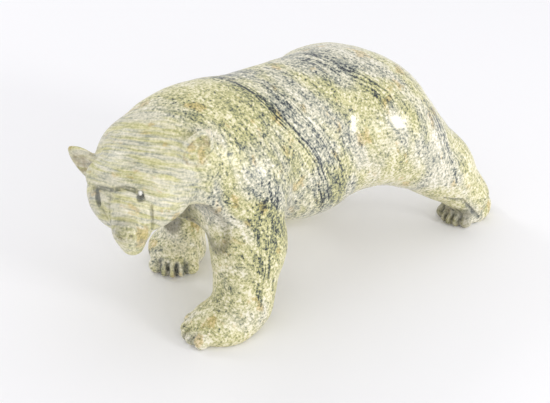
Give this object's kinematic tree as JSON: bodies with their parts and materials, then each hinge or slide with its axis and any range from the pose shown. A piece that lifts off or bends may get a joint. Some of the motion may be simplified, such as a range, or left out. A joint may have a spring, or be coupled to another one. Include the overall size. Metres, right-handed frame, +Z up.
{
  "type": "stone bear carving",
  "caption": "Walking polar bear with its head turned, carved from one block of polished, speckled soapstone, standing on its own paws.",
  "frame": {"origin": "middle of the base of the carving's box, on the surface that the paws stand on", "axes": "+Z up; the bear walks towards -Y, and its left side is +X"},
  "size_m": [0.1206, 0.277, 0.1371],
  "materials": {
    "soapstone": "polished, with a fine dark speckle and dark streaks"
  },
  "bodies": {
    "root": {"bear": "soapstone"}
  },
  "joints": []
}
